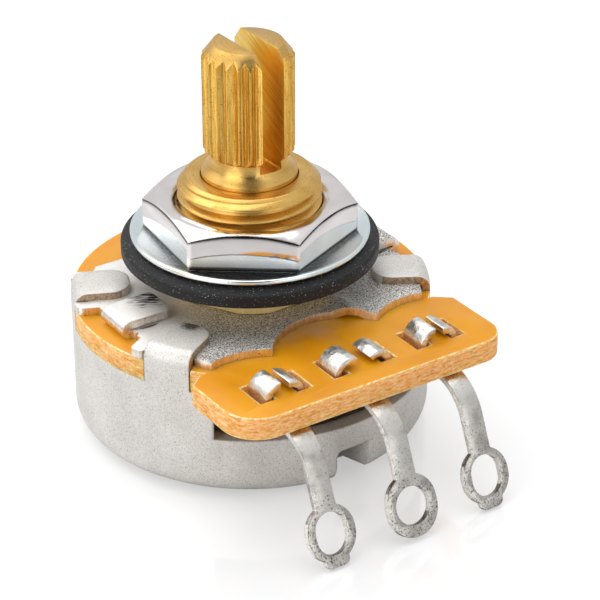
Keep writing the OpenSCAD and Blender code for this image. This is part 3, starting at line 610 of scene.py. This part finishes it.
def studio():
    """White tent: a bright room with a dark gap where the camera stands."""
    world = bpy.data.worlds.new("tent")
    world.use_nodes = True
    tree = world.node_tree
    tree.nodes.clear()
    direction = add(tree, "TexCoord", output="Generated")
    height = add(tree, "SeparateXYZ", (direction,), "Z")
    level = add(tree, "MapRange", (height, -0.2, 1, 0, 1))
    walls = graded(tree, level, (0.0, "D4D4D4"), (0.35, "DCDCDC"), (0.6, "E4E4E4"), (0.9, "F6F6F6"))
    facing = add(tree, "VectorMath", (direction, CAMERA_PLACE.normalized()), operation="DOT_PRODUCT")
    outer, inner = math.cos(math.radians(GAP_OUTER)), math.cos(math.radians(GAP_INNER))
    walls = marked(tree, walls, facing, outer, inner, 1, "2C2C2C")
    seen = add(tree, "LightPath", output="Is Camera Ray")
    colour = add(tree, "Mix", (seen, walls, linear("FDFDFD")), data_type="RGBA")
    add(tree, "OutputWorld", {"Surface": add(tree, "Background", {"Color": colour, "Strength": 1.0})})
    bpy.context.scene.world = world


def lamp(name, place, width, power):
    """A soft square lamp, aimed at the piece."""
    data = bpy.data.lights.new(name, "AREA")
    data.size = width
    data.energy = power
    made = bpy.data.objects.new(name, data)
    made.location = place
    made.rotation_euler = (LAMPS_AIM - Vector(place)).to_track_quat("-Z", "Y").to_euler()
    bpy.context.scene.collection.objects.link(made)


def white_table():
    """Glossy white table that the can's rear edge and the tips of the lugs stand on."""
    slope = math.atan2(-lug_low, REAR_FOOT - FRONT_FOOT)
    edge = (0, REAR_FOOT * MM, 0)
    bpy.ops.mesh.primitive_plane_add(size=TABLE_WIDTH * MM, location=edge, rotation=(slope, 0, 0))
    table = bpy.context.object
    table.name = "white_table"
    material, tree, _ = blank("white_table")
    seen = add(tree, "LightPath", output="Is Camera Ray")
    mirrored = add(tree, "LightPath", output="Is Glossy Ray")
    unseen = (mirrored, linear(TABLE_BOUNCE), linear(TABLE_IN_METAL))
    colour = add(tree, "Mix", unseen, data_type="RGBA")
    colour = add(tree, "Mix", (seen, colour, linear(TABLE_SEEN)), data_type="RGBA")
    gloss = add(tree, "BsdfPrincipled", {"Base Color": colour, "Roughness": 0.07, "IOR": 2.0})
    glow = add(tree, "Emission", {"Strength": add(tree, "MapRange", (seen, 0, 1, 0, TABLE_GLOW))})
    add(tree, "OutputMaterial", {"Surface": add(tree, "AddShader", (gloss, glow))})
    table.data.materials.append(material)


def can():
    piece = reworked("can", "drawn_can")
    broken_edges(piece, 0.1)
    finished(piece, [tumbled_nickel(), sheared_edge()], HOUSING, "tumbled_nickel", "can")
    for face in piece.data.polygons:
        outward = Vector((face.center.x, face.center.y, 0)).normalized()
        across = abs(face.normal.z) < UPRIGHT and abs(face.normal.dot(outward)) < SIDELONG
        face.material_index = int(across and face.center.z > rim_z * MM)


def mounting_plate():
    piece = reworked("mounting_plate", "pressed_plate")
    broken_edges(piece, 0.16, 4)
    finished(piece, [plate_nickel(), punched_edge()], HOUSING, "plate_nickel", "mounting_plate")
    for face in piece.data.polygons:
        face.material_index = int(abs(face.normal.z) < PLATE_EDGE)


def thread_groove():
    """The groove's section, wound up round the axis: all that the die takes away from the bushing."""
    facing = math.atan2(CAMERA_PLACE.y, CAMERA_PLACE.x) % math.tau / math.tau
    start = bush_top - CREST_DROP + PITCH / 2 - PITCH * (facing + TURNS_BELOW)
    middle = THREAD_ROOT + THREAD_DEPTH / 2
    centre = (middle * MM, 0, start * MM)
    bpy.ops.mesh.primitive_plane_add(size=MM, location=centre, rotation=(math.pi / 2, 0, 0))
    groove = bpy.context.object
    groove.scale = (THREAD_DEPTH, ROOT_WIDTH, 1)
    bpy.ops.object.transform_apply(location=True, rotation=True, scale=True)
    bpy.ops.object.mode_set(mode="EDIT")
    pick_corners(groove, lambda place: place.x > middle * MM)
    flare = 1 + 2 * THREAD_DEPTH * math.tan(math.radians(THREAD_ANGLE / 2)) / ROOT_WIDTH
    bpy.ops.transform.resize(value=(1, 1, flare), center_override=centre)
    bpy.ops.mesh.select_all(action="SELECT")
    bpy.ops.mesh.delete(type="ONLY_FACE")
    bpy.ops.object.mode_set(mode="OBJECT")
    steps = {"steps": TURN_STEPS, "render_steps": TURN_STEPS}
    fitted(groove, "SCREW", iterations=TURNS_CUT, screw_offset=PITCH * MM, **steps)
    bpy.ops.object.mode_set(mode="EDIT")
    bpy.ops.mesh.select_all(action="SELECT")
    bpy.ops.mesh.remove_doubles(threshold=SAME_POINT * MM)
    bpy.ops.mesh.fill_holes(sides=4)
    bpy.ops.mesh.select_all(action="SELECT")
    bpy.ops.mesh.normals_make_consistent(inside=False)
    bpy.ops.object.mode_set(mode="OBJECT")
    return groove


def bushing(brass):
    piece = reworked("bushing", "threaded_bushing")
    broken_edges(piece, 0.06, 2)
    cut(piece, thread_groove())
    finished(piece, [brass, drawn_brass_painted_light()], HOUSING, "turned_brass", "bushing")
    # the hexagon's flats take the brass that is painted paler: painted light in the rubber washer's shade
    for face in piece.data.polygons:
        on_base = board_top + FLATS_RISE < face.center.z / MM < seat_z
        face.material_index = int(abs(face.normal.z) < HEX_FLAT and on_base)


def column(radius, low, high, corners):
    """Upright cylinder round the axis, from one height to another, in millimetres."""
    place = (0, 0, (low + high) / 2 * MM)
    sizes = {"vertices": corners, "radius": radius * MM, "depth": (high - low) * MM}
    bpy.ops.mesh.primitive_cylinder_add(location=place, **sizes)
    bpy.ops.object.transform_apply(location=True)
    return bpy.context.object


def knurl_ring():
    """Ring with pointed teeth inside: all that the knurling die takes away from the shaft's end."""
    low, high = bush_top + KNURL_LOW, shaft_top + SPARE
    star = column(RIDGE_R, low - SPARE, high + SPARE, 2 * RIDGES)
    bpy.ops.object.mode_set(mode="EDIT")
    step = math.pi / RIDGES
    pick_corners(star, lambda place: round(math.atan2(place.y, place.x) / step) % 2 == 1)
    narrow = VALLEY_R / RIDGE_R
    bpy.ops.transform.resize(value=(narrow, narrow, 1), center_override=(0, 0, 0))
    bpy.ops.object.mode_set(mode="OBJECT")
    return cut(column(DIE_R, low, high, DIE_CORNERS), star)


def shaft(brass):
    piece = cut(reworked("shaft", "knurled_shaft"), knurl_ring())
    broken_edges(piece, 0.03, 2)
    finished(piece, [brass, sawn_brass_painted_light(), knurled_brass()], ROTATING, "turned_brass", "shaft")
    for face in piece.data.polygons:
        middle = face.center / MM
        in_slot = abs(abs(middle.x) - SLOT_HALF) < SLOT_NEAR and middle.z > bush_top + SLOT_FLOOR
        on_knurl = abs(face.normal.z) < KNURL_FLANK and middle.z > bush_top + KNURL_LOW
        # the slot's walls take the brass that is painted paler: painted light in the slot
        sawn = in_slot and abs(face.normal.x) > SLOT_WALL
        face.material_index = 1 if sawn else 2 if on_knurl else 0


def nut_and_washers():
    """Nut, dished flat washer and rubber washer, with their edges broken."""
    stack = (
        ("hex_nut", "chromed_nut", 0.2, chrome_plate(), "chrome_plate"),
        ("flat_washer", "dished_washer", 0.06, blue_zinc(), "blue_zinc"),
        ("rubber_washer", "rubber_ring", 0.08, black_rubber(), "black_rubber"),
    )
    for node, name, width, material, slot in stack:
        piece = reworked(node, name)
        broken_edges(piece, width, 4)
        finished(piece, [material], HOUSING, slot, node)


def terminals():
    tin, edge = tinned_brass(), tinned_edge()
    for side in ("left", "centre", "right"):
        piece = reworked("terminal_" + side, "solder_lug_" + side)
        broken_edges(piece, 0.07, 2)
        finished(piece, [tin, edge], HOUSING, "tinned_brass", "terminal_" + side)
        for face in piece.data.polygons:
            outside = face.center.z < CUT_EDGE_TOP * MM
            face.material_index = int(abs(face.normal.x) > LUG_EDGE and outside)


def element_board():
    piece = reworked("element_board", "laminate_board")
    broken_edges(piece, 0.09, 2)
    layers = [laminate_face(), laminate_edge(), chipped_rim()]
    finished(piece, layers, HOUSING, "paper_laminate", "element_board")
    for face in piece.data.polygons:
        rise = abs(face.normal.z)
        face.material_index = 0 if rise > LEVEL else 1 if rise < UPRIGHT else 2


def inner_pieces():
    """The pieces that keep their CAD form and get their finish."""
    silver = silver_plate()
    paint("retaining_ring", spring_steel())
    paint("rotor", brown_moulding())
    paint("wiper_contact", contact_bronze())
    paint("carbon_track", carbon_ink())
    for node in ("collector_ring", "end_pad_left", "end_pad_right"):
        paint(node, silver)


camera()
studio()
white_table()
for name, place, width, power in LAMPS:
    lamp(name, place, width, power)
can()
mounting_plate()
brass = turned_brass()
bushing(brass)
shaft(brass)
nut_and_washers()
terminals()
element_board()
inner_pieces()
bpy.context.scene.view_settings.view_transform = "Standard"
